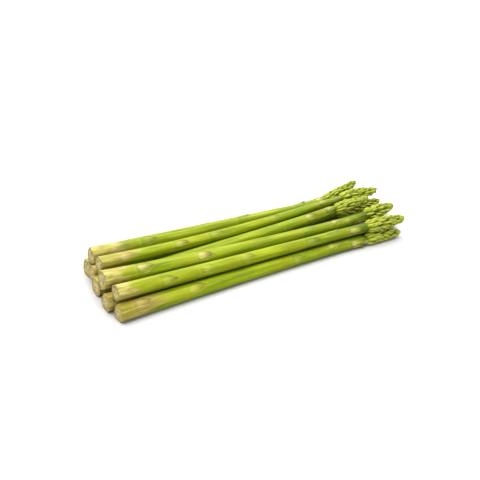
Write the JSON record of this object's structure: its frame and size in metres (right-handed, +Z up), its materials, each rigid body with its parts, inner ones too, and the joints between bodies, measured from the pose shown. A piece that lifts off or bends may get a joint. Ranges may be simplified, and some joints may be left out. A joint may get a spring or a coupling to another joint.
{
  "type": "bundle of asparagus",
  "caption": "Loose bundle of fresh green asparagus spears lying in a low heap, cut butts at one end and scaly pointed heads at the other.",
  "frame": {"origin": "on the surface the bundle lies on, under the middle of its bounding box", "axes": "+X along the spears from the cut butts to the tips, +Y across the heap towards its back, +Z up"},
  "size_m": [0.2529, 0.0761, 0.0265],
  "materials": {
    "asparagus_skin": "fresh asparagus skin with a faint waxy sheen, yellow-green, tan at the cut butts"
  },
  "bodies": {
    "root": {"spear_top_back": "asparagus_skin", "spear_top_middle": "asparagus_skin", "spear_top_thick": "asparagus_skin", "spear_top_front": "asparagus_skin", "spear_floor_front": "asparagus_skin", "spear_floor_mid_front": "asparagus_skin", "spear_rising": "asparagus_skin", "spear_low_nested": "asparagus_skin", "spear_floor_back": "asparagus_skin"}
  },
  "joints": []
}
